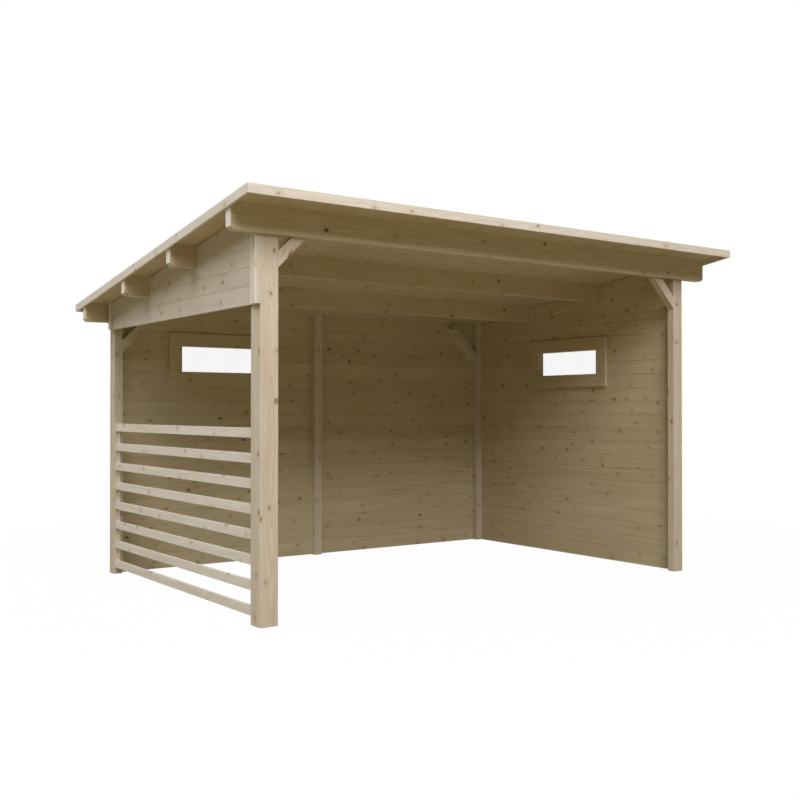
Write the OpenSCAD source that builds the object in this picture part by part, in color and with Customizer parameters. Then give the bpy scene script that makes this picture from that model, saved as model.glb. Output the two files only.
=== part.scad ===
// Garden pavilion: an open timber shelter with a roof that falls to the back.
// Millimetres, +Z up. +X runs along the open front to the right, +Y to the back.
// The pieces are laid out from the outer front corner of the front left post, then
// shifted so that the origin lies on the ground below the middle of the roof.

/* [Plan] */
// Outside length of the post frame, left to right
frame_w = 3720; // [3000:10:4500]
// Depth of the post frame, front to back
frame_d = 2496; // [2000:8:3200]
// Height under the front purlin
front_h = 2308; // [2200:1:2600]

/* [Posts] */
// Side of the square corner post at the front left
corner_post = 120; // [90:1:150]
// Width of the other posts, seen from the front
post_w = 68; // [45:1:90]
// Depth of the other posts, front to back
post_d = 62; // [45:1:90]
// Left edge of the middle back post
middle_post_x = 1814; // [1600:1:2100]

/* [Purlins] */
// Thickness of a purlin
purlin_t = 68; // [45:1:90]
// Height of the front purlin along its front face
front_purlin_h = 166; // [120:1:200]
// Height of the other purlins along their front faces
purlin_h = 148; // [100:1:200]
// How far the front purlin stands proud of the posts
purlin_proud = 30; // [10:1:50]
// Front face of the second purlin, behind the front of the posts
second_purlin_y = 845; // [700:1:1000]
// Front face of the third purlin, behind the front of the posts
third_purlin_y = 1658; // [1500:1:1850]
// Chamfer along the lower edges of a purlin
purlin_chamfer = 6; // [2:1:15]
// Chamfer under each purlin end
end_chamfer = 20; // [5:1:40]

/* [Braces] */
// Width of a brace, square to its length
brace_w = 68; // [40:1:80]
// Height of the front left brace along its post
left_brace_drop = 190; // [120:1:300]
// Height of the front right brace along its post
right_brace_drop = 232; // [120:1:300]
// Foot of a back brace, below the underside of the back purlin
back_brace_drop = 231; // [200:1:400]
// Length of a back brace along its upper edge
back_brace_len = 325; // [200:1:400]

/* [Roof] */
// Fall of the roof to the back, in degrees
roof_fall = 8.25; // [5:0.05:12]
// Thickness of the roof boards
deck_t = 18; // [16:1:28]
// Thickness of the roofing felt
felt_t = 2.5; // [2:0.5:6]
// Thickness of the fascia boards
fascia_t = 18; // [16:1:28]
// Height of the fascia boards
fascia_h = 56; // [45:1:120]
// How far a fascia stands above the roof boards
fascia_lip = 3; // [3:0.5:12]
// Overhang of the purlins past the left side of the frame
left_overhang = 206; // [100:1:300]
// Overhang of the purlins past the right side of the frame
right_overhang = 252; // [100:1:300]
// Overhang of the roof in front of the posts, with its fascia
front_overhang = 280; // [150:1:400]
// Overhang of the roof behind the back wall, with its fascia
back_overhang = 161; // [90:1:250]

/* [Walls] */
// Thickness of the wall boards
wall_t = 28; // [19:1:44]
// Lower edge of the panel on the left side, below the underside of the back purlin
gable_drop = 62; // [20:1:200]
// Thickness of the boards of that panel
gable_t = 20; // [15:1:28]
// Thickness of the upright trims at the ends of that panel
gable_trim_t = 18; // [12:1:28]
// Width of the trim at the front end
front_trim_w = 60; // [40:1:90]
// Width of the trim at the back end
back_trim_w = 45; // [30:1:60]
// How far that panel stops short of the frame's depth
gable_gap = 34; // [5:1:60]

/* [Slatted side] */
// Number of slats on the left side
slat_count = 8; // [4:1:8]
// Lower edge of the lowest slat
slat_bottom = 49; // [30:1:120]
// Step from one slat to the next
slat_step = 151.3; // [120:0.1:170]
// Height of a slat
slat_h = 60; // [40:1:90]
// Thickness of a slat
slat_t = 18; // [15:1:28]
// How far the slats lie in from the outer face of the posts
slat_inset = 14; // [5:1:35]
// Side of the square cleats behind the ends of the slats
cleat = 28; // [20:1:40]

/* [Windows] */
// Width of the clear opening
opening_w = 732; // [500:1:900]
// Height of the clear opening
opening_h = 208; // [120:1:250]
// Middle of the windows, below the underside of the back purlin
window_drop = 269; // [255:1:500]
// Middle of the back window, measured along the back wall
back_window_x = 946; // [800:1:1100]
// Width of the flat casing around the opening
casing_w = 108; // [60:1:120]
// Thickness of the casing
casing_t = 24; // [12:1:28]
// Thickness of the lining that stands in the wall
lining_t = 25; // [15:1:30]
// Thickness of the pane
pane_t = 4; // [3:0.5:6]
// Depth of the groove that holds the pane
pane_groove = 8; // [5:1:12]

/* [Fit] */
// Gap between pieces that are seated on each other
seat = 0.2; // [0.1:0.05:0.5]

/* [Hidden] */
slat_names = [for (i = [1:slat_count]) str("slat_", i)];

// Purlins: the first stands proud of the front posts, the last stands on the back wall
// with its front face in line with the wall's inner face.
back_face = frame_d + wall_t;
purlin_ys = [-purlin_proud, second_purlin_y, third_purlin_y, frame_d];

// Heights of the roof: the underside of the roof boards falls by roof_rate for each mm of Y,
// and a layer of thickness t is t * rise high, measured upright.
roof_rate = tan(roof_fall);
rise = 1 / cos(roof_fall);
function under_roof(y) = front_h + front_purlin_h - roof_rate * (y + purlin_proud);
function over_deck(y) = under_roof(y) + deck_t * rise;
function purlin_bottom(i) = under_roof(purlin_ys[i]) - (i == 0 ? front_purlin_h : purlin_h);

back_post_y = frame_d - post_d;
right_post_x = frame_w - post_w;
wall_x = frame_w + seat;
purlin_left = -left_overhang;
purlin_right = frame_w + right_overhang;
roof_front = -front_overhang;
roof_back = back_face + back_overhang;
roof_left = purlin_left - fascia_t;
roof_right = purlin_right + fascia_t;
deck_front = roof_front + fascia_t;
deck_back = roof_back - fascia_t;
middle_x = (roof_left + roof_right) / 2;
middle_y = (roof_front + roof_back) / 2;

gable_bottom = purlin_bottom(3) - gable_drop;
gable_back = frame_d - gable_gap;
trim_outer = gable_t + gable_trim_t + 2 * seat;
slat_front = corner_post + seat;
slat_back = back_post_y - seat;
slat_top = slat_bottom + (slat_count - 1) * slat_step + slat_h;
window_z = purlin_bottom(3) - window_drop;
wall_hole_w = opening_w + 2 * lining_t + 2 * seat;
wall_hole_h = opening_h + 2 * lining_t + 2 * seat;
hole_bottom = window_z - wall_hole_h / 2;
hole_top = window_z + wall_hole_h / 2;
right_window_y = frame_d / 2;

// Shifts a piece from the corner of the frame to the origin of the part.
module at_origin() translate([-middle_x, -middle_y, 0]) children();
module wood(tone) color([0.80, 0.70, 0.55] * tone) at_origin() children();
module clear_glass() color([0.80, 0.85, 0.85, 0.5]) at_origin() children();

// A box between two opposite corners.
module block(low, high) translate(low) cube(high - low);

// A plate with its outline given in Y and Z, from x0 to x1.
module plate_along_x(x0, x1, outline)
  translate([x0, 0, 0]) rotate([90, 0, 90]) linear_extrude(x1 - x0) polygon(outline);

// A plate with its outline given in X and Z, from y0 to y1.
module plate_along_y(y0, y1, outline)
  translate([0, y1, 0]) rotate([90, 0, 0]) linear_extrude(y1 - y0) polygon(outline);

// A piece from the height z up to the underside of the roof.
module up_to_roof(x0, x1, y0, y1, z)
  plate_along_x(x0, x1, [[y0, z], [y1, z], [y1, under_roof(y1) - seat], [y0, under_roof(y0) - seat]]);

// Posts
module front_post(x, w, d) wood(1) block([x, 0, 0], [x + w, d, front_h - seat]);
module back_post(x) wood(1) up_to_roof(x, x + post_w, back_post_y, frame_d, 0);
module front_left_post() front_post(0, corner_post, corner_post);
module front_right_post() front_post(right_post_x, post_w, post_d);
module back_left_post() back_post(0);
module back_middle_post() back_post(middle_post_x);
module back_right_post() back_post(right_post_x);

// Purlins: lower edges and ends chamfered, top planed to the fall of the roof.
module purlin(i) {
  y = purlin_ys[i];
  z = purlin_bottom(i);
  c = purlin_chamfer;
  e = end_chamfer;
  wood(0.9) intersection() {
    plate_along_x(purlin_left, purlin_right, [
      [y, z + c], [y + c, z], [y + purlin_t - c, z], [y + purlin_t, z + c],
      [y + purlin_t, under_roof(y + purlin_t) - seat], [y, under_roof(y) - seat]]);
    plate_along_y(y - 1, y + purlin_t + 1, [
      [purlin_left + e, z - 1], [purlin_right - e, z - 1], [purlin_right, z + e],
      [purlin_right, z + 2 * purlin_h], [purlin_left, z + 2 * purlin_h], [purlin_left, z + e]]);
  }
}
module front_purlin() purlin(0);
module second_purlin() purlin(1);
module third_purlin() purlin(2);
module back_purlin() purlin(3);

// Braces at 45 degrees; side is 1 to the right of the post and -1 to its left.
// A front brace reaches up to the underside of the front purlin.
module front_brace(post_side, side, drop) {
  inner = drop - brace_w * sqrt(2);
  x = post_side + side * seat;
  z = front_h - seat;
  wood(0.95) plate_along_y(0, post_d, [
    [x, z - drop], [x + side * drop, z], [x + side * inner, z], [x, z - inner]]);
}
// A back brace is cut square at its upper end and lies against the back wall.
module back_brace(post_side, side) {
  across = brace_w / sqrt(2);
  along = back_brace_len / sqrt(2);
  x = post_side + side * seat;
  foot = purlin_bottom(3) - back_brace_drop;
  z = foot + 2 * across;
  wood(0.95) plate_along_y(back_post_y, frame_d - seat, [
    [x, foot], [x + side * (along + across), z + along - across],
    [x + side * along, z + along], [x, z]]);
}
module front_left_brace() front_brace(corner_post, 1, left_brace_drop);
module front_right_brace() front_brace(right_post_x, -1, right_brace_drop);
module back_left_brace() back_brace(post_w, 1);
module back_right_brace() back_brace(right_post_x, -1);

// The notches that purlins pass through in a side wall, a seat wider all round.
module purlin_notches(x0, x1, which)
  for (i = which)
    block([x0, purlin_ys[i] - seat, purlin_bottom(i) - seat],
          [x1, purlin_ys[i] + purlin_t + seat, over_deck(purlin_ys[i])]);

// Panel under the roof on the left side, with an upright trim at each end
module left_gable_boards()
  wood(1.05) difference() {
    up_to_roof(-gable_t - seat, -seat, 0, gable_back, gable_bottom);
    purlin_notches(-gable_t - 1, 1, [0, 1, 2]);
  }
module gable_trim(y0, y1)
  wood(1.1) difference() {
    up_to_roof(-trim_outer, -gable_t - 2 * seat, y0, y1, gable_bottom);
    purlin_notches(-trim_outer - 1, 0, [0]);
  }
module left_gable_front_trim() gable_trim(0, front_trim_w);
module left_gable_back_trim() gable_trim(gable_back - back_trim_w, gable_back);

// Back wall and right wall, each in four stretches around its window
module back_wall(x0, x1, z0, z1)
  wood(0.85) block([x0, frame_d + seat, z0], [x1, back_face, z1]);
module right_wall(y0, y1, z0, z1)
  wood(0.85) block([wall_x, y0, z0], [wall_x + wall_t, y1, z1]);
module back_wall_below_window() back_wall(0, frame_w, 0, hole_bottom);
module back_wall_left_of_window()
  back_wall(0, back_window_x - wall_hole_w / 2, hole_bottom, hole_top);
module back_wall_right_of_window()
  back_wall(back_window_x + wall_hole_w / 2, frame_w, hole_bottom, hole_top);
module back_wall_above_window() back_wall(0, frame_w, hole_top, purlin_bottom(3) - seat);
module right_wall_below_window() right_wall(0, back_face, 0, hole_bottom);
module right_wall_front_of_window()
  right_wall(0, right_window_y - wall_hole_w / 2, hole_bottom, hole_top);
module right_wall_behind_window()
  right_wall(right_window_y + wall_hole_w / 2, back_face, hole_bottom, hole_top);
module right_wall_above_window()
  wood(0.85) difference() {
    up_to_roof(wall_x, wall_x + wall_t, 0, back_face, hole_top);
    purlin_notches(wall_x - 1, wall_x + wall_t + 1, [0, 1, 2, 3]);
  }

// Windows are drawn at the middle of their opening, with the room at -Y and the inner
// face of the wall at Y = 0.
module in_back_wall() translate([back_window_x, frame_d + seat, window_z]) children();
module in_right_wall() translate([wall_x, right_window_y, window_z]) rotate([0, 0, -90]) children();

// A flat ring around the clear opening, bar wide, between y0 and y1.
module ring(bar, y0, y1) {
  w = opening_w / 2;
  h = opening_h / 2;
  difference() {
    block([-w - bar, y0, -h - bar], [w + bar, y1, h + bar]);
    block([-w, y0 - 1, -h], [w, y1 + 1, h]);
  }
}
// The pane, let in to the lining by the given depth, with room in front and behind.
module pane(depth, room) {
  w = opening_w / 2 + depth;
  h = opening_h / 2 + depth;
  y = (wall_t - pane_t) / 2;
  block([-w, y - room, -h], [w, y + pane_t + room, h]);
}
module lining()
  difference() {
    ring(lining_t, 0, wall_t - seat);
    pane(pane_groove + seat, seat);
  }
module inner_casing() ring(casing_w, -casing_t, -seat);
module outer_casing() ring(casing_w, wall_t, wall_t + casing_t);
module back_window_lining() wood(1) in_back_wall() lining();
module back_window_casing() wood(1) in_back_wall() inner_casing();
module back_window_outer_casing() wood(1) in_back_wall() outer_casing();
module back_window_pane() clear_glass() in_back_wall() pane(pane_groove, 0);
module right_window_lining() wood(1) in_right_wall() lining();
module right_window_casing() wood(1) in_right_wall() inner_casing();
module right_window_outer_casing() wood(1) in_right_wall() outer_casing();
module right_window_pane() clear_glass() in_right_wall() pane(pane_groove, 0);

// Slatted side: the slats run from the corner post to the back left post.
module slat(i) {
  z = slat_bottom + i * slat_step;
  wood(1.1) block([slat_inset, slat_front, z], [slat_inset + slat_t, slat_back, z + slat_h]);
}
module slat_cleat(y) {
  x = slat_inset + slat_t + seat;
  wood(1) block([x, y, slat_bottom], [x + cleat, y + cleat, slat_top]);
}
module front_slat_cleat() slat_cleat(slat_front);
module back_slat_cleat() slat_cleat(slat_back - cleat);

// Roof: a layer between two heights above the underside of the roof boards.
module roof_layer(low, high) {
  y0 = deck_front + seat;
  y1 = deck_back - seat;
  at_origin() plate_along_x(purlin_left + seat, purlin_right - seat, [
    [y0, under_roof(y0) + low * rise], [y1, under_roof(y1) + low * rise],
    [y1, under_roof(y1) + high * rise], [y0, under_roof(y0) + high * rise]]);
}
module roof_deck() color([0.72, 0.63, 0.50]) roof_layer(0, deck_t);
module roof_felt() color([0.2, 0.21, 0.22]) roof_layer(deck_t + seat, deck_t + felt_t);

// A level fascia whose back or front face meets the roof boards at deck_y.
module cross_fascia(y0, deck_y) {
  top = over_deck(deck_y) + fascia_lip;
  wood(1.05) block([roof_left, y0, top - fascia_h], [roof_right, y0 + fascia_t, top]);
}
// A sloping fascia up one side, between the front and the back one.
module side_fascia(x0) {
  y0 = deck_front + seat;
  y1 = deck_back - seat;
  top = fascia_lip;
  bottom = fascia_lip - fascia_h;
  wood(1.1) plate_along_x(x0, x0 + fascia_t, [
    [y0, over_deck(y0) + bottom], [y1, over_deck(y1) + bottom],
    [y1, over_deck(y1) + top], [y0, over_deck(y0) + top]]);
}
module front_fascia() cross_fascia(roof_front, deck_front);
module back_fascia() cross_fascia(deck_back, deck_back);
module left_fascia() side_fascia(roof_left);
module right_fascia() side_fascia(purlin_right);

front_left_post();
front_right_post();
back_left_post();
back_middle_post();
back_right_post();
front_purlin();
second_purlin();
third_purlin();
back_purlin();
front_left_brace();
front_right_brace();
back_left_brace();
back_right_brace();
left_gable_boards();
left_gable_front_trim();
left_gable_back_trim();
back_wall_below_window();
back_wall_left_of_window();
back_wall_right_of_window();
back_wall_above_window();
right_wall_below_window();
right_wall_front_of_window();
right_wall_behind_window();
right_wall_above_window();
back_window_lining();
back_window_casing();
back_window_outer_casing();
back_window_pane();
right_window_lining();
right_window_casing();
right_window_outer_casing();
right_window_pane();
front_slat_cleat();
back_slat_cleat();
roof_deck();
roof_felt();
front_fascia();
back_fascia();
left_fascia();
right_fascia();
for (i = [0:slat_count - 1])
  slat(i);
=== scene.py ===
"""Garden pavilion: planed timber, grooved boards, felt roof and windows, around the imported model."""

import math

import bpy
import numpy as np
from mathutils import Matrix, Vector

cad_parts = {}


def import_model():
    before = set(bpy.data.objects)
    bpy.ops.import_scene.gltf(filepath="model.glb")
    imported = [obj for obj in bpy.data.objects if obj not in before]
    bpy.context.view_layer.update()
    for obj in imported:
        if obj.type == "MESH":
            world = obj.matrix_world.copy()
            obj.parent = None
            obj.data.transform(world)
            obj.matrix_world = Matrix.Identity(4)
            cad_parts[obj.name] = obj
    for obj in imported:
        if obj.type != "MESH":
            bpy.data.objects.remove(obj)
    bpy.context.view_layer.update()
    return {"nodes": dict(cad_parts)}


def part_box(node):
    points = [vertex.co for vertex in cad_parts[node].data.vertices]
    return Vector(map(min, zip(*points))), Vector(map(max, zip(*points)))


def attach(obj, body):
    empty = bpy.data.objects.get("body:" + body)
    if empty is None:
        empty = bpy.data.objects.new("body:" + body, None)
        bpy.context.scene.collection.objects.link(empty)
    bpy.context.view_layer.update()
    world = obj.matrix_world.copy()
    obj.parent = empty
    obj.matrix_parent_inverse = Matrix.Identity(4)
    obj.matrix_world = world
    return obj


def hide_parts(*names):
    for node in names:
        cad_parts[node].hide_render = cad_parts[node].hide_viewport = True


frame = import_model()

X, Y, Z = 0, 1, 2
CROSS_AXES = {X: (Z, Y), Y: (Z, X), Z: (X, Y)}
ROOF_FALL = math.tan(math.radians(8.25))
BOARD_COVER = 0.112
FIRST_BOARD = 0.116
ROOF_BOARD = 0.096
GROOVE = 0.0032
ARRIS = 0.003
SEAT = 0.0002
CASING_W = 0.108
LINING_T = 0.025
BRACE_W = 0.068
PURLIN_NOSE = 0.020
PURLIN_ARRIS = 0.006
FELT_ROLL = 1.0
FELT_LAP = 0.0006
FELT_WAVE = 0.00025
SQUARE_EDGE = 0.0004
NOTCH_EDGE = 0.0002
THINNEST = 0.0015
STOP_STEP = 0.06
TRIM_ARRIS = 0.002
SLAT_ARRIS = 0.0025
WINDOW_ARRIS = 0.0018

BACK_WALL_SEED, RIGHT_WALL_SEED, GABLE_SEED, TRIM_SEED, LINING_SEED = 11, 31, 53, 4, 71

rng = np.random.default_rng(7)


# ---------------------------------------------------------------- timber shapes

def rounded_outline(corners, cuts, steps):
    """Closed outline: each corner becomes the parabola (1-t)^2 A + 2t(1-t) P + t^2 B that
    leaves one edge at A and meets the next at B, both the cut's length from the corner P."""
    corners = np.asarray(corners, float)
    cuts = np.broadcast_to(np.asarray(cuts, float), len(corners))[:, None]
    back = np.roll(corners, 1, axis=0) - corners
    ahead = np.roll(corners, -1, axis=0) - corners
    back /= np.linalg.norm(back, axis=1)[:, None]
    ahead /= np.linalg.norm(ahead, axis=1)[:, None]
    a, b = corners + back * cuts, corners + ahead * cuts
    t = np.linspace(0, 1, steps + 1)[None, :, None]
    arcs = (1 - t) ** 2 * a[:, None] + 2 * t * (1 - t) * corners[:, None] + t ** 2 * b[:, None]
    return arcs.reshape(-1, 2)


def outward(outline):
    """Unit normals of a closed outline that runs counterclockwise: the mean of the directions
    to the neighbours on both sides, turned a quarter turn outwards."""
    along = np.roll(outline, -1, axis=0) - np.roll(outline, 1, axis=0)
    normal = np.stack([along[:, 1], -along[:, 0]], axis=1)
    return normal / np.maximum(np.linalg.norm(normal, axis=1)[:, None], 1e-9)


class Joinery:
    """Collects sticks of timber and makes one mesh of them, with the coordinates of the grain
    inside the wood, the coordinates of the knots on its faces, and a tone for each stick."""

    def __init__(self):
        self.points, self.faces, self.grain, self.knots, self.tone = [], [], [], [], []
        self.count = 0

    def add_rings(self, rings, grain, knots, tone):
        """A tube: ring i, point j is rings[i, j]; its last point repeats the first. Both ends
        are closed by flat faces with points of their own, marked as end grain."""
        rows, columns = rings.shape[:2]
        i, j = np.meshgrid(np.arange(rows - 1), np.arange(columns - 1), indexing="ij")
        first = (i * columns + j).ravel()
        quads = np.stack([first, first + 1, first + columns + 1, first + columns], axis=1)
        ends = np.concatenate([rings[0, :-1], rings[-1, :-1]])
        end_grain = np.concatenate([grain[0, :-1], grain[-1, :-1]])
        end_knots = np.concatenate([knots[0, :-1], knots[-1, :-1]])
        end_knots[:, 2] = 1
        side = rings.reshape(-1, 3)
        corner = side[quads]
        spread = np.cross(corner[:, 1] - corner[:, 0], corner[:, 2] - corner[:, 0])
        spread += np.cross(corner[:, 2] - corner[:, 0], corner[:, 3] - corner[:, 0])
        inside = side.mean(axis=0)
        turned = np.sum(spread * (corner.mean(axis=1) - inside)) < 0
        cap = len(side) + np.arange(columns - 1)
        caps = [cap[::-1], cap + columns - 1]
        if turned:
            quads, caps = quads[:, ::-1], [c[::-1] for c in caps]
        self.points += [side, ends]
        self.grain += [grain.reshape(-1, 3), end_grain]
        self.knots += [knots.reshape(-1, 3), end_knots]
        self.tone.append(np.full(len(side) + len(ends), tone))
        self.faces += (quads + self.count).tolist() + [(c + self.count).tolist() for c in caps]
        self.count += len(side) + len(ends)

    def stick(self, low, high, run, cuts=ARRIS, steps=3, end=0.002, cut=None, stops=(), seed=None,
              pith=None):
        """A board or post between two corners. Its rectangle, with eased corners, is carried
        along the run axis; near each end the outline shrinks along a quarter circle. cut is a
        function of the points that planes or saws them afterwards."""
        dice = rng if seed is None else np.random.default_rng(seed)
        low, high = np.array(low, float), np.array(high, float)
        b, c = CROSS_AXES[run]
        outline = rounded_outline(
            [(low[b], low[c]), (high[b], low[c]), (high[b], high[c]), (low[b], high[c])], cuts, steps)
        normal = outward(outline)
        turn = np.linspace(0, math.pi / 2, 4)[::-1] if end else np.zeros(1)
        near = low[run] + end * (1 - np.sin(turn)) if end else np.array([low[run]])
        far = high[run] - end * (1 - np.sin(turn[::-1])) if end else np.array([high[run]])
        inset = end * (1 - np.cos(turn))
        stops = np.array([s for s in stops if near[-1] + 1e-4 < s < far[0] - 1e-4])
        station = np.concatenate([near, np.sort(stops), far])
        shrink = np.concatenate([inset, np.zeros(len(stops)), inset[::-1]])
        ring = outline[None] - normal[None] * shrink[:, None, None]
        ring = np.concatenate([ring, ring[:, :1]], axis=1)
        points = np.zeros(ring.shape[:2] + (3,))
        points[..., run] = station[:, None]
        points[..., b], points[..., c] = ring[..., 0], ring[..., 1]
        closed = np.concatenate([outline, outline[:1]])
        girth = low[b] + np.concatenate([[0], np.cumsum(np.linalg.norm(np.diff(closed, axis=0), axis=1))])
        if cut is not None:
            points = cut(points)
        width, depth = high[b] - low[b], high[c] - low[c]
        if pith is None:
            pith = (dice.uniform(-0.35, 0.35) * max(width, 0.1),
                    (0.5 * depth + dice.uniform(0.03, 0.09)) * dice.choice([-1, 1]))
        offset = dice.uniform(0, 90, 2)
        centre = (low + high) / 2 if seed is None else np.zeros(3)
        if seed is not None:
            centre[b] = dice.uniform(0, 1e-3) + np.round((low[b] + high[b]) / 2 / BOARD_COVER) * BOARD_COVER
            centre[c] = (low[c] + high[c]) / 2
        grain = np.stack([points[..., run] + offset[0],
                          points[..., b] - centre[b] - pith[0],
                          points[..., c] - centre[c] - pith[1]], axis=-1)
        knots = np.stack([points[..., run] + offset[1],
                          np.broadcast_to(girth, points.shape[:2]) + 3 * offset[0],
                          np.zeros(points.shape[:2])], axis=-1)
        self.add_rings(points, grain, knots, dice.uniform())

    def make(self, name, finish, slot, *nodes):
        """One object from all the sticks, standing for the named parts of the model."""
        mesh = bpy.data.meshes.new(name)
        mesh.from_pydata(np.concatenate(self.points).tolist(), [], self.faces)
        for label, kind, rows in (("grain", "FLOAT_VECTOR", self.grain),
                                  ("knots", "FLOAT_VECTOR", self.knots), ("tone", "FLOAT", self.tone)):
            values = np.concatenate(rows).astype(np.float32).ravel()
            layer = mesh.attributes.new(label, kind, "POINT")
            layer.data.foreach_set("vector" if kind == "FLOAT_VECTOR" else "value", values)
        mesh.materials.append(finish)
        piece = bpy.data.objects.new(name, mesh)
        bpy.context.scene.collection.objects.link(piece)
        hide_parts(*nodes)
        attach(piece, "root")
        return piece


def box(*nodes):
    """Lowest and highest corner of some of the model's parts together."""
    corners = np.array([[list(p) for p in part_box(node)] for node in nodes])
    return corners[:, 0].min(axis=0), corners[:, 1].max(axis=0)


def fall_from(node):
    """The height of a part's top, which falls to the back from its front edge."""
    low, high = box(node)
    return lambda y: high[Z] - ROOF_FALL * (y - low[Y])


def planed_to(top):
    """Planes points down to a height that depends on y: z becomes the smaller of the two."""
    def cut(points):
        points = points.copy()
        points[..., Z] = np.minimum(points[..., Z], top(points[..., Y]))
        return points
    return cut


# ---------------------------------------------------------------- finishes

class Wire:
    """One output of a material's nodes. Arithmetic on it adds Math nodes to the same material."""

    def __init__(self, recipe, socket):
        self.recipe, self.socket = recipe, socket

    def math(self, operation, *values):
        return self.recipe.node("ShaderNodeMath", {"operation": operation}, dict(enumerate(values)))

    def __add__(self, other):
        return self.math("ADD", self, other)

    def __radd__(self, other):
        return self.math("ADD", other, self)

    def __sub__(self, other):
        return self.math("SUBTRACT", self, other)

    def __rsub__(self, other):
        return self.math("SUBTRACT", other, self)

    def __mul__(self, other):
        return self.math("MULTIPLY", self, other)

    def __rmul__(self, other):
        return self.math("MULTIPLY", other, self)

    def __truediv__(self, other):
        return self.math("DIVIDE", self, other)

    def __rtruediv__(self, other):
        return self.math("DIVIDE", other, self)

    def __pow__(self, other):
        return self.math("POWER", self, other)

    def __neg__(self):
        return self.math("MULTIPLY", self, -1.0)

    def clamp(self):
        return self.recipe.node("ShaderNodeClamp", {}, {"Value": self})

    def rise(self, start, end):
        """0 before start, 1 after end, smooth between."""
        return self.recipe.node("ShaderNodeMapRange", {"interpolation_type": "SMOOTHSTEP"},
                                {"Value": self, "From Min": start, "From Max": end})

    def out(self, name):
        return Wire(self.recipe, self.socket.node.outputs[name])


class Recipe:
    """A material and the nodes that make it."""

    def __init__(self, name):
        self.material = bpy.data.materials.new(name)
        self.material.use_nodes = True
        self.tree = self.material.node_tree
        self.tree.nodes.clear()

    def node(self, kind, settings, inputs, output=0):
        """Adds a node: its settings first, then the values or wires of its sockets."""
        node = self.tree.nodes.new(kind)
        for key, value in settings.items():
            setattr(node, key, value)
        for key, value in inputs.items():
            if isinstance(value, Wire):
                self.tree.links.new(value.socket, node.inputs[key])
            else:
                node.inputs[key].default_value = value
        return Wire(self, node.outputs[output])

    def attribute(self, name, output="Vector"):
        return self.node("ShaderNodeAttribute", {"attribute_name": name}, {}, output)

    def split(self, vector):
        x = self.node("ShaderNodeSeparateXYZ", {}, {"Vector": vector})
        return x, x.out("Y"), x.out("Z")

    def join(self, x, y, z):
        return self.node("ShaderNodeCombineXYZ", {}, {"X": x, "Y": y, "Z": z})

    def vector(self, operation, a, b):
        return self.node("ShaderNodeVectorMath", {"operation": operation}, {0: a, 1: b})

    def noise(self, vector, scale, detail=2.0, rough=0.5):
        return self.node("ShaderNodeTexNoise", {"noise_dimensions": "3D"},
                         {"Vector": vector, "Scale": scale, "Detail": detail, "Roughness": rough})

    def mix(self, factor, a, b, blend="MIX"):
        """Mixes two colours."""
        return self.node("ShaderNodeMix", {"data_type": "RGBA", "blend_type": blend},
                         {"Factor": factor, 6: a, 7: b}, 2)

    def finish(self, base, rough, height=None, depth=0.001, bump=0.3):
        """The surface: base colour, roughness and a relief of the given depth in metres."""
        inputs = {"Base Color": base, "Roughness": rough}
        if height is not None:
            inputs["Normal"] = self.node("ShaderNodeBump", {}, {
                "Strength": bump, "Distance": depth, "Height": height})
        surface = self.node("ShaderNodeBsdfPrincipled", {}, inputs)
        self.node_output(surface)
        return self.material

    def node_output(self, surface):
        out = self.tree.nodes.new("ShaderNodeOutputMaterial")
        self.tree.links.new(surface.socket, out.inputs["Surface"])


def srgb(red, green, blue):
    """A colour given in 0..255 as seen, in the linear values of a socket."""
    seen = np.array([red, green, blue]) / 255
    linear = np.where(seen <= 0.04045, seen / 12.92, ((seen + 0.055) / 1.055) ** 2.4)
    return (*linear.tolist(), 1.0)


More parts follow.
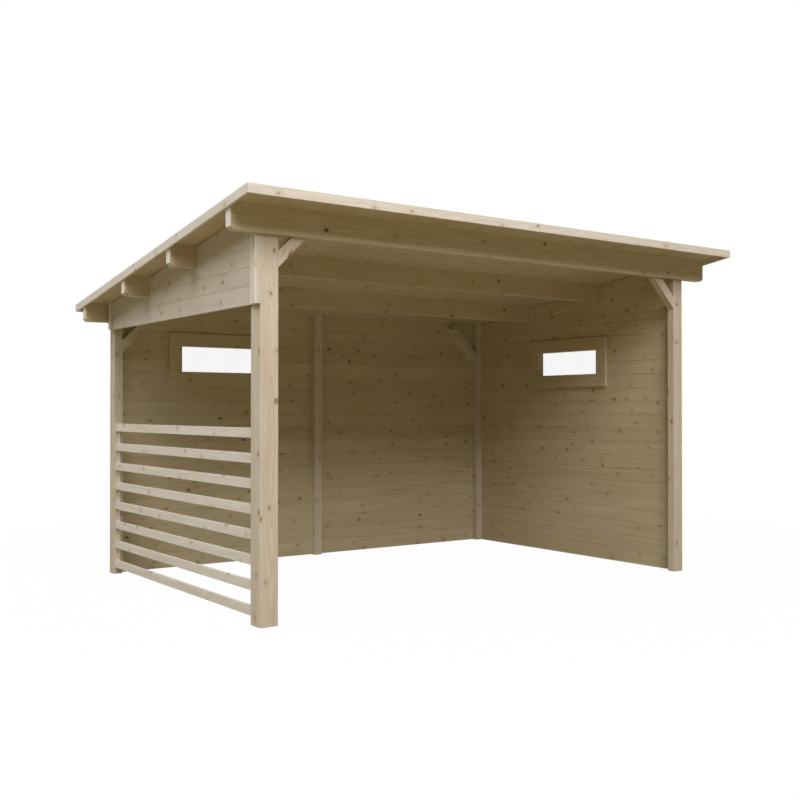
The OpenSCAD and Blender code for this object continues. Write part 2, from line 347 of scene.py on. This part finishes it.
def spruce(name, pale, deep, knot, knot_share, knot_size, ring=0.0032, sap=0.5, pale_end_and_highlight=0.2):
    """Planed spruce. Growth rings are shells around the pith, which runs along the stick; they
    wander with slow noise and swell around each knot. A knot is a round dark eye with a darker
    rim, one at most in each cell of a stretched Voronoi pattern on the faces."""
    r = Recipe(name)
    along, across, through = r.split(r.attribute("grain"))
    reach, girth, end = r.split(r.attribute("knots"))
    tone = r.attribute("tone", "Fac")

    stretch = (3.1, 11.0)
    cell = r.join(reach * stretch[0], girth * stretch[1], 0.0)
    eye = r.node("ShaderNodeTexVoronoi", {"voronoi_dimensions": "2D", "feature": "F1"},
                 {"Vector": cell, "Scale": 1.0, "Randomness": 1.0})
    away = r.vector("SUBTRACT", cell, eye.out("Position"))
    away_along, away_across, _ = r.split(away)
    away_along, away_across = away_along / (stretch[0] * 1.25), away_across / stretch[1]
    distance = (away_along * away_along + away_across * away_across) ** 0.5
    ragged = r.noise(r.join(reach * 55.0, girth * 75.0, 0.0), 1.0, 3.0, 0.6)
    distance = distance * (0.62 + ragged * 0.76)
    chance, size, shade = r.split(eye.out("Color"))
    shown = chance.math("LESS_THAN", chance, knot_share) * (1 - end)
    radius = knot_size * (0.35 + size * size * 0.85)
    inside = distance / radius
    eye_mask = (1 - inside.rise(0.45, 1.15)) * shown
    rim = inside.rise(0.35, 0.7) * eye_mask
    swell = (1 - (distance / 0.05).clamp()) ** 3 * shown

    slow = r.noise(r.join(along * 0.9, across * 7.0, through * 7.0), 1.0, 2.0)
    ripple = r.noise(r.join(along * 5.0, across * 30.0, through * 30.0), 1.0, 2.0)
    shell = (across * across + through * through) ** 0.5
    shell = shell + slow * 0.022 + ripple * 0.0022 + swell * 0.012
    phase = (shell / ring).math("FRACT", shell / ring)
    late = phase.rise(0.35, 0.9) * (1 - phase.rise(0.93, 1.0))
    fibre = r.noise(r.join(along * 9.0, across * 420.0, through * 420.0), 1.0, 3.0, 0.6)
    streak = r.noise(r.join(along * 1.3, across * 38.0, through * 38.0), 1.0, 3.0, 0.55)
    cloud = r.noise(r.join(along * 1.7, across * 9.0, through * 9.0), 1.0, 2.0)

    mix = (0.12 + late * 0.30 + streak.rise(0.35, 0.75) * 0.22 + (fibre - 0.5) * 0.35
           + (cloud - 0.5) * 0.3 + (tone - 0.5) * sap + swell * 0.25 + end * 0.2).clamp()
    base = r.mix(mix, pale, deep)
    warm = r.mix((cloud.rise(0.45, 0.8) * 0.25).clamp(), base, srgb(246, 226, 200), "MULTIPLY")
    halo = r.mix(swell * 0.55, warm, srgb(176, 140, 92))
    base = r.mix(eye_mask * (0.45 + shade * 0.5), halo, knot)
    base = r.mix(rim * 0.35, base, srgb(62, 42, 22))
    # End faces mixed toward pale grey-white: a little for the end grain of every stick, and on the purlins
    # much more, a painted highlight on their ends lit from the left.
    base = r.mix(end * pale_end_and_highlight, base, srgb(236, 229, 222))
    rough = (0.62 + (fibre - 0.5) * 0.15 + late * 0.05 - eye_mask * 0.12).clamp()
    relief = late * -0.5 + fibre * 0.6 + eye_mask * -0.8
    return r.finish(base, rough, relief, 0.0006, 0.35)


def roofing_felt():
    """Mineral felt: dark bitumen with pale and dark grit, in patches that differ a little."""
    r = Recipe("roofing_felt")
    place = r.node("ShaderNodeTexCoord", {}, {}, "Object")
    grit = r.node("ShaderNodeTexVoronoi", {"feature": "F1"}, {"Vector": place, "Scale": 420.0})
    speck, _, _ = r.split(grit.out("Color"))
    patch = r.noise(place, 3.0, 4.0, 0.6)
    fine = r.noise(place, 160.0, 2.0, 0.6)
    base = r.mix(speck, srgb(52, 54, 56), srgb(104, 106, 106))
    base = r.mix((patch.rise(0.35, 0.7) * 0.5).clamp(), base, srgb(66, 67, 66))
    relief = 1 - (grit * 1.6).clamp() + fine * 0.4
    return r.finish(base, (0.86 + speck * 0.1).clamp(), relief, 0.0008, 0.6)


def window_pane():
    """Clear glazing with a faint haze, a little denser in slow patches."""
    r = Recipe("window_pane")
    place = r.node("ShaderNodeTexCoord", {}, {}, "Object")
    haze = r.noise(place, 5.0, 3.0, 0.5)
    glass = r.node("ShaderNodeBsdfPrincipled", {}, {
        "Base Color": srgb(236, 240, 240), "Roughness": (0.06 + haze * 0.05).clamp(),
        "Alpha": (0.03 + haze * 0.04).clamp()})
    r.node_output(glass)
    return r.material


PALE, DEEP = srgb(214, 203, 188), srgb(176, 158, 133)
# The next pair is a painted shade tint: the same spruce as PALE and DEEP, yellower and more saturated, for
# the wall boards, purlins, roof boards and windows that stand in shade under the roof.
SHADE_TINT_PALE, SHADE_TINT_DEEP = srgb(207, 194, 164), srgb(168, 149, 110)
TIMBER = spruce("frame_timber", PALE, DEEP, srgb(142, 106, 62), 0.50, 0.013, sap=0.2)
# The purlins' end faces are painted nearly white, a painted highlight of the light from the left.
PURLINS = spruce("purlin_timber", SHADE_TINT_PALE, SHADE_TINT_DEEP, srgb(96, 68, 34), 0.45, 0.013, sap=0.15,
                 pale_end_and_highlight=0.85)
TRIM = spruce("trim_timber", srgb(227, 219, 210), srgb(197, 185, 169), srgb(146, 112, 72), 0.50,
              0.009, sap=0.2)
BOARDS = spruce("wall_boards", SHADE_TINT_PALE, SHADE_TINT_DEEP, srgb(102, 76, 42), 0.58, 0.0125, sap=0.22)
PANEL = spruce("gable_boards", srgb(216, 207, 195), srgb(182, 167, 148), srgb(132, 100, 60), 0.45,
               0.010, sap=0.2)
ROOFING = spruce("roof_boards", SHADE_TINT_PALE, SHADE_TINT_DEEP, srgb(100, 72, 38), 0.45, 0.011, sap=0.22)
JOINERY = spruce("window_timber", SHADE_TINT_PALE, SHADE_TINT_DEEP, srgb(112, 82, 46), 0.30, 0.009, sap=0.15)
FELT = roofing_felt()
PANE = window_pane()


# ---------------------------------------------------------------- posts, purlins, braces

def post(node, heart):
    """An upright, planed to the fall of the roof where it reaches the roof boards."""
    low, high = box(node)
    wood = Joinery()
    top = fall_from(node) if low[Y] > 0 and node.startswith("back") else None
    pith = (heart[0] * (high[X] - low[X]), heart[1] * (high[Y] - low[Y]))
    wood.stick(low, high, Z, cuts=ARRIS, end=0 if top else 0.002, cut=planed_to(top) if top else None,
               pith=pith)
    return wood.make(node + "_timber", TIMBER, "frame_timber", node)


def purlin(node):
    """A purlin: planed on top to the fall of the roof, with both lower ends cut back upwards.
    Within the nose's length of an end, no point lies lower than the slanted cut."""
    low, high = box(node)
    top = fall_from(node)

    def cut(points):
        points = planed_to(top)(points)
        to_end = np.minimum(points[..., X] - low[X], high[X] - points[..., X])
        nose = low[Z] + np.maximum(PURLIN_NOSE - to_end, 0)
        points[..., Z] = np.maximum(points[..., Z], nose)
        return points

    wood = Joinery()
    stops = [low[X] + PURLIN_NOSE, high[X] - PURLIN_NOSE, low[X] + PURLIN_NOSE / 2,
             high[X] - PURLIN_NOSE / 2, *np.linspace(low[X], high[X], 12)[1:-1]]
    wood.stick(low, high, X, cuts=[PURLIN_ARRIS, 0.001, 0.001, PURLIN_ARRIS], steps=4, end=0.003,
               cut=cut, stops=stops)
    return wood.make(node + "_timber", PURLINS, "frame_timber", node)


def brace(node, width, side, square_end):
    """A brace at 45 degrees. It is made level, as a stick along its own length, then turned
    up: a point at s along and w across goes to x = s cos 45 - w sin 45, z = s sin 45 + w cos 45.
    Its foot is sawn plumb, s + w, and its head level or square, s - w or s."""
    low, high = box(node)
    half = math.sqrt(0.5)
    rise = high[Z] - low[Z]
    length = rise / half if not square_end else (rise + width * half) / half - width

    def cut(points):
        s, w = points[..., X], points[..., Z]
        share = np.clip(s / length, 0, 1)
        s = s + (1 - share) * w - (0 if square_end else 1) * share * w
        turned = points.copy()
        x, z = (s - w) * half, (s + w) * half
        turned[..., X] = low[X] + x if side > 0 else high[X] - x
        turned[..., Z] = low[Z] + z
        return turned

    wood = Joinery()
    wood.stick((0, low[Y], 0), (length, high[Y], width), X, cuts=ARRIS, end=0, cut=cut)
    return wood.make(node + "_timber", TIMBER, "frame_timber", node)


post("front_left_post", (0.1, 0.62))
post("front_right_post", (0.9, 0.8))
post("back_left_post", (-0.8, 0.9))
post("back_middle_post", (0.5, -0.9))
post("back_right_post", (0.9, 0.5))
for node in ("front_purlin", "second_purlin", "third_purlin", "back_purlin"):
    purlin(node)
brace("front_left_brace", BRACE_W, 1, False)
brace("front_right_brace", BRACE_W, -1, False)
brace("back_left_brace", BRACE_W, 1, True)
brace("back_right_brace", BRACE_W, -1, True)


# ---------------------------------------------------------------- boarded walls

def courses(bottom, top, first, cover):
    """Heights of the seams between boards: the first board, then one each cover."""
    count = int(math.ceil((top - bottom - first) / cover))
    return [bottom] + [bottom + first + cover * i for i in range(count)] + [top]


def boarded(wood, low, high, run, seams, holes, cut, number):
    """Boards one above the other along the run axis, with V grooves at their seams. A hole is
    (start, end, lowest, highest) along the run axis and in height: a board that it crosses is
    made in stretches, which share the board's grain."""
    breaks = sorted({low[run], high[run], *[h[0] for h in holes], *[h[1] for h in holes]})
    breaks = [b for b in breaks if low[run] <= b <= high[run]]
    for course, (z0, z1) in enumerate(zip(seams[:-1], seams[1:])):
        crossed = [h for h in holes if h[2] < z1 and h[3] > z0]
        marks = [b for b in breaks if b in (low[run], high[run])
                 or any(b in h[:2] for h in crossed)]
        for start, stop in zip(marks[:-1], marks[1:]):
            middle = (start + stop) / 2
            hole = next((h for h in crossed if h[0] < middle < h[1]), None)
            strips = [(z0, z1)] if hole is None else [(z0, min(z1, hole[2])), (max(z0, hole[3]), z1)]
            for a, b in strips:
                if b - a > THINNEST:
                    lower = GROOVE if a == z0 and course else SQUARE_EDGE
                    upper = GROOVE if b == z1 and z1 != seams[-1] else SQUARE_EDGE
                    corner, other = np.array(low, float), np.array(high, float)
                    corner[run], other[run] = start, stop
                    corner[Z], other[Z] = a, b
                    stops = np.arange(start, stop, STOP_STEP) if cut else ()
                    wood.stick(corner, other, run, cuts=[lower, upper, upper, lower], steps=1,
                               end=0, cut=cut, stops=stops, seed=number * 100 + course)


def notches(names):
    """The holes where purlins pass through a side wall."""
    found = []
    for name in names:
        low, high = box(name)
        found.append((low[Y] - SEAT, high[Y] + SEAT, low[Z] - SEAT, high[Z] + 1))
    return found


def under_line(top, z):
    """The y at which a falling top comes down to the height z."""
    return (top(0) - z) / ROOF_FALL


def back_wall():
    parts = [f"back_wall_{p}" for p in
             ("below_window", "left_of_window", "right_of_window", "above_window")]
    low, high = box(*parts)
    below, above = box(parts[0]), box(parts[3])
    left, right = box(parts[1]), box(parts[2])
    hole = (left[1][X], right[0][X], below[1][Z], above[0][Z])
    wood = Joinery()
    boarded(wood, low, high, X, courses(low[Z], high[Z], FIRST_BOARD, BOARD_COVER), [hole], None,
            BACK_WALL_SEED)
    return wood.make("back_wall_boards", BOARDS, "wall_boards", *parts)


def right_wall():
    parts = [f"right_wall_{p}" for p in
             ("below_window", "front_of_window", "behind_window", "above_window")]
    low, high = box(*parts)
    below, above = box(parts[0]), box(parts[3])
    front, behind = box(parts[1]), box(parts[2])
    hole = (front[1][Y], behind[0][Y], below[1][Z], above[0][Z])
    holes = [hole] + notches(("front_purlin", "second_purlin", "third_purlin", "back_purlin"))
    top = fall_from(parts[3])
    wood = Joinery()
    wall_boards(wood, low, high, FIRST_BOARD, holes, top, RIGHT_WALL_SEED)
    return wood.make("right_wall_boards", BOARDS, "wall_boards", *parts)


def wall_boards(wood, low, high, first, holes, top, number):
    """All the boards of a wall whose top falls to the back."""
    seams = courses(low[Z], high[Z], first, BOARD_COVER)
    for course, (z0, z1) in enumerate(zip(seams[:-1], seams[1:])):
        reach = min(high[Y], under_line(top, z0 + 0.001))
        if reach < low[Y] + 0.01:
            continue
        cut = None if top(high[Y]) >= z1 else planed_to(top)
        lower = GROOVE if course else SQUARE_EDGE
        upper = GROOVE if z1 < seams[-1] else SQUARE_EDGE
        crossed = [h for h in holes if h[2] < z1 and h[3] > z0 and h[0] < reach]
        strips(wood, low, high, reach, z0, z1, lower, upper, crossed, cut, number * 100 + course)


def strips(wood, low, high, reach, z0, z1, lower, upper, holes, cut, seed):
    """One board along y, in stretches beside, below and above the holes that cross it."""
    starts = [max(h[0], low[Y]) for h in holes]
    stops_here = [min(h[1], reach) for h in holes]
    marks = sorted({low[Y], reach, *starts, *stops_here})
    for start, stop in zip(marks[:-1], marks[1:]):
        hole = next((h for h in holes if h[0] < (start + stop) / 2 < h[1]), None)
        rows = [(z0, z1)] if hole is None else [(z0, min(z1, hole[2])), (max(z0, hole[3]), z1)]
        for a, b in rows:
            if b - a > THINNEST and stop - start > THINNEST:
                stops = np.arange(start, stop, STOP_STEP) if cut else ()
                foot = lower if a == z0 else NOTCH_EDGE
                head = upper if b == z1 else NOTCH_EDGE
                wood.stick((low[X], start, a), (high[X], stop, b), Y, cuts=[foot, head, head, foot],
                           steps=1, end=0, cut=cut, stops=stops, seed=seed)


def gable():
    low, high = box("left_gable_boards")
    wood = Joinery()
    wall_boards(wood, low, high, BOARD_COVER, notches(("front_purlin", "second_purlin", "third_purlin")),
                fall_from("left_gable_boards"), GABLE_SEED)
    return wood.make("left_gable_boards_grooved", PANEL, "wall_boards", "left_gable_boards")


def gable_trim(node):
    """An upright trim beside the panel, below and behind the front purlin that passes it."""
    low, high = box(node)
    top = fall_from(node)
    notch = box("front_purlin")
    wood = Joinery()
    if notch[0][Y] < high[Y] and notch[1][Y] > low[Y]:
        wood.stick(low, (high[X], notch[1][Y] + SEAT, notch[0][Z] - SEAT), Z,
                   cuts=TRIM_ARRIS, end=0, seed=TRIM_SEED)
        wood.stick((low[X], notch[1][Y] + SEAT, low[Z]), high, Z, cuts=TRIM_ARRIS, end=0,
                   cut=planed_to(top), seed=TRIM_SEED)
    else:
        wood.stick(low, high, Z, cuts=TRIM_ARRIS, end=0, cut=planed_to(top))
    return wood.make(node + "_timber", TRIM, "trim_timber", node)


back_wall()
right_wall()
gable()
gable_trim("left_gable_front_trim")
gable_trim("left_gable_back_trim")


# ---------------------------------------------------------------- windows

def ring_of_boards(wood, low, high, run, bar, seed=None):
    """Four boards around an opening: the upper and lower one run through."""
    for z0, z1 in ((low[Z], low[Z] + bar), (high[Z] - bar, high[Z])):
        wood.stick((low[X], low[Y], z0), (high[X], high[Y], z1), run, cuts=WINDOW_ARRIS, end=0.0015,
                   seed=seed)
    for end in (0, 1):
        a, b = np.array(low), np.array(high)
        a[Z], b[Z] = low[Z] + bar, high[Z] - bar
        if end:
            a[run] = high[run] - bar
        else:
            b[run] = low[run] + bar
        wood.stick(a, b, Z, cuts=WINDOW_ARRIS, end=0.0004, seed=seed)


def window_casing(node, run):
    low, high = box(node)
    wood = Joinery()
    ring_of_boards(wood, low, high, run, CASING_W)
    return wood.make(node + "_timber", JOINERY, "window_timber", node)


def window_lining(node, run, pane, seed):
    """A lining with a groove for the pane all round: a full ring on each face of the pane, and
    between them a thinner ring, which ends a seat's width outside the pane's edge."""
    low, high = box(node)
    glass_low, glass_high = box(pane)
    across = Y if run == X else X
    wood = Joinery()
    for near, far, bar in (
            (low[across], glass_low[across] - SEAT, LINING_T),
            (glass_low[across] - SEAT, glass_high[across] + SEAT, glass_low[Z] - SEAT - low[Z]),
            (glass_high[across] + SEAT, high[across], LINING_T)):
        a, b = low.copy(), high.copy()
        a[across], b[across] = near, far
        ring_of_boards(wood, a, b, run, bar, seed)
    return wood.make(node + "_timber", JOINERY, "window_timber", node)


for side, run in (("back", X), ("right", Y)):
    window_lining(f"{side}_window_lining", run, f"{side}_window_pane", LINING_SEED)
    window_casing(f"{side}_window_casing", run)
    window_casing(f"{side}_window_outer_casing", run)
    pane = frame["nodes"][f"{side}_window_pane"]
    pane.data.materials.clear()
    pane.data.materials.append(PANE)


# ---------------------------------------------------------------- slatted side

def slats():
    for node in sorted(n for n in frame["nodes"] if n.startswith("slat_")):
        low, high = box(node)
        wood = Joinery()
        wood.stick(low, high, Y, cuts=SLAT_ARRIS, end=0.0005, stops=np.linspace(low[Y], high[Y], 8))
        wood.make(node + "_timber", TRIM, "trim_timber", node)
    for node in ("front_slat_cleat", "back_slat_cleat"):
        low, high = box(node)
        wood = Joinery()
        wood.stick(low, high, Z, cuts=TRIM_ARRIS, end=0.001)
        wood.make(node + "_timber", TRIM, "trim_timber", node)


slats()


# ---------------------------------------------------------------- roof

def sloped(points):
    """Tips points that were laid out level at y = 0 to the fall: z falls with y."""
    tipped = points.copy()
    tipped[..., Z] -= ROOF_FALL * tipped[..., Y]
    return tipped


def level_of(node, y):
    """Lower and upper height that a sloping layer would have at y = 0."""
    low, high = box(node)
    return low[Z] + ROOF_FALL * (high[Y] - y), high[Z] + ROOF_FALL * (low[Y] - y)


def roof_boards():
    """Boards from front to back, grooved on the underside, tipped to the fall."""
    low, high = box("roof_deck")
    z0, z1 = level_of("roof_deck", 0)
    wood = Joinery()
    edges = np.append(np.arange(low[X], high[X] - ROOF_BOARD / 3, ROOF_BOARD), high[X])
    for a, b in zip(edges[:-1], edges[1:]):
        wood.stick((a, low[Y], z0), (b, high[Y], z1), Y, cuts=[GROOVE, GROOVE, SQUARE_EDGE, SQUARE_EDGE],
                   steps=1, end=0, cut=sloped, stops=np.linspace(low[Y], high[Y], 6))
    return wood.make("roof_boards_grooved", ROOFING, "roof_boards", "roof_deck")


def felt():
    """Rolls of felt from left to right. Height over the layer's underside: full at each roll's
    lower edge, a lap's thickness less at its upper edge, so that a step shows at each lap."""
    low, high = box("roof_felt")
    z0, z1 = level_of("roof_felt", 0)
    rolls = int(math.ceil((high[Y] - low[Y]) / FELT_ROLL))
    edges = high[Y] - np.arange(rolls + 1) * FELT_ROLL
    edges[-1] = low[Y]
    y = np.concatenate([np.linspace(b + SEAT, a, 12) for a, b in zip(edges[:-1], edges[1:])][::-1])
    lift = np.tile(np.linspace(-2 * FELT_LAP, 0, 12), rolls)
    x = np.linspace(low[X], high[X], 60)
    wave = FELT_WAVE * (np.sin(x[:, None] * 5.1 + 3 * np.sin(y[None] * 2.3)) - 1)
    grid_x, grid_y = np.meshgrid(x, y, indexing="ij")
    upper = np.stack([grid_x, grid_y, z1 + lift[None] + wave - ROOF_FALL * grid_y], axis=-1)
    lower = np.stack([grid_x, grid_y, z0 - ROOF_FALL * grid_y], axis=-1)
    rows, columns = grid_x.shape
    i, j = np.meshgrid(np.arange(rows - 1), np.arange(columns - 1), indexing="ij")
    first = (i * columns + j).ravel()
    top = np.stack([first, first + columns, first + columns + 1, first + 1], axis=1)
    bottom = top[:, ::-1] + rows * columns
    rim = np.concatenate([np.arange(columns), np.arange(1, rows) * columns + columns - 1,
                          (rows - 1) * columns + np.arange(columns - 2, -1, -1),
                          np.arange(rows - 2, 0, -1) * columns])
    after = np.roll(rim, -1)
    wall = np.stack([rim, after, after + rows * columns, rim + rows * columns], axis=1)
    mesh = bpy.data.meshes.new("roof_felt_rolls")
    mesh.from_pydata(np.concatenate([upper.reshape(-1, 3), lower.reshape(-1, 3)]).tolist(), [],
                     np.concatenate([top, bottom, wall]).tolist())
    mesh.materials.append(FELT)
    piece = bpy.data.objects.new("roof_felt_rolls", mesh)
    bpy.context.scene.collection.objects.link(piece)
    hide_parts("roof_felt")
    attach(piece, "root")
    return piece


def fascias():
    for node in ("front_fascia", "back_fascia"):
        low, high = box(node)
        wood = Joinery()
        wood.stick(low, high, X, cuts=TRIM_ARRIS, end=0.002, stops=np.linspace(low[X], high[X], 12))
        wood.make(node + "_timber", TRIM, "trim_timber", node)
    for node in ("left_fascia", "right_fascia"):
        low, high = box(node)
        z0, z1 = level_of(node, 0)
        wood = Joinery()
        wood.stick((low[X], low[Y], z0), (high[X], high[Y], z1), Y, cuts=TRIM_ARRIS, end=0, cut=sloped,
                   stops=np.linspace(low[Y], high[Y], 8))
        wood.make(node + "_timber", TRIM, "trim_timber", node)


roof_boards()
felt()
fascias()


# ---------------------------------------------------------------- floor, light, camera

def floor():
    """A white floor: to the camera it shows its shadows weakly over plain white."""
    r = Recipe("floor")
    place = r.node("ShaderNodeTexCoord", {}, {}, "Object")
    east, north, _ = r.split(place)
    apart = (east * east + north * north) ** 0.5
    mottle = r.noise(place, 2.0)
    rays = r.node("ShaderNodeLightPath", {}, {})
    seen = rays.math("MAXIMUM", rays.out("Is Camera Ray"), rays.out("Is Glossy Ray"))
    seen = seen.math("MAXIMUM", seen, rays.out("Is Transmission Ray"))
    warm = r.mix(mottle, (0.30, 0.25, 0.135, 1), (0.34, 0.285, 0.155, 1))
    ground = r.node("ShaderNodeBsdfDiffuse", {}, {"Color": r.mix(seen, warm, (0.3, 0.3, 0.3, 1))})
    white = r.node("ShaderNodeEmission", {}, {"Color": (1, 1, 1, 1), "Strength": 1.03})
    plain = 0.95 + 0.016 * apart.rise(2.5, 9.0)
    both = r.node("ShaderNodeMixShader", {}, {0: seen * plain, 1: ground, 2: white})
    r.node_output(both)
    mesh = bpy.data.meshes.new("floor")
    half, lift = 60.0, -0.0005
    mesh.from_pydata([(-half, -half, lift), (half, -half, lift), (half, half, lift), (-half, half, lift)],
                     [], [(0, 1, 2, 3)])
    mesh.materials.append(r.material)
    piece = bpy.data.objects.new("floor", mesh)
    bpy.context.scene.collection.objects.link(piece)


def world(level):
    """An even pale sky that lights at the given level and shows white."""
    sky = bpy.data.worlds.new("studio")
    bpy.context.scene.world = sky
    sky.use_nodes = True
    tree = sky.node_tree
    tree.nodes.clear()
    rays = tree.nodes.new("ShaderNodeLightPath")
    seen = tree.nodes.new("ShaderNodeMath")
    seen.operation = "MAXIMUM"
    tree.links.new(rays.outputs["Is Camera Ray"], seen.inputs[0])
    tree.links.new(rays.outputs["Is Transmission Ray"], seen.inputs[1])
    light = tree.nodes.new("ShaderNodeBackground")
    light.inputs["Color"].default_value = (1.0, 0.91, 0.68, 1)
    light.inputs["Strength"].default_value = level
    white = tree.nodes.new("ShaderNodeBackground")
    white.inputs["Strength"].default_value = 1.0
    white.inputs["Color"].default_value = (1, 1, 1, 1)
    both = tree.nodes.new("ShaderNodeMixShader")
    tree.links.new(seen.outputs[0], both.inputs[0])
    tree.links.new(light.outputs[0], both.inputs[1])
    tree.links.new(white.outputs[0], both.inputs[2])
    out = tree.nodes.new("ShaderNodeOutputWorld")
    tree.links.new(both.outputs[0], out.inputs["Surface"])


def lamp(name, place, aim, size, power, tint=(1, 1, 1)):
    """A soft square lamp at a place, turned to shine at a point."""
    light = bpy.data.lights.new(name, "AREA")
    light.energy, light.size, light.color = power, size, tint
    holder = bpy.data.objects.new(name, light)
    bpy.context.scene.collection.objects.link(holder)
    holder.location = place
    holder.rotation_euler = (Vector(aim) - Vector(place)).to_track_quat("-Z", "Y").to_euler()


def camera():
    """A standing viewer's camera in front of the left corner, turned to the right."""
    data = bpy.data.cameras.new("camera")
    data.lens, data.sensor_width, data.shift_x = 46.09, 36.0, 0.0053
    holder = bpy.data.objects.new("camera", data)
    bpy.context.scene.collection.objects.link(holder)
    turn, tilt = math.radians(35.11), math.radians(0.56)
    ahead = Vector((math.sin(turn) * math.cos(tilt), math.cos(turn) * math.cos(tilt), math.sin(tilt)))
    holder.location = (-4.6767, -6.5533, 1.2741)
    holder.rotation_euler = ahead.to_track_quat("-Z", "Y").to_euler()
    data.clip_end = 200
    bpy.context.scene.camera = holder


floor()
world(0.18)
lamp("key", (-3.3, -10.4, 10.3), (0, 0, 1.2), 6.0, 1560, (1.0, 0.98, 0.97))
lamp("side", (-10.0, -0.7, 10.8), (0, 0, 1.2), 8.5, 1120, (0.93, 0.97, 1.0))
lamp("behind", (9.0, 10.0, 6.0), (0, 0, 1.0), 6.0, 700, (0.97, 0.97, 1.0))
camera()
bpy.context.scene.view_settings.view_transform = "Standard"
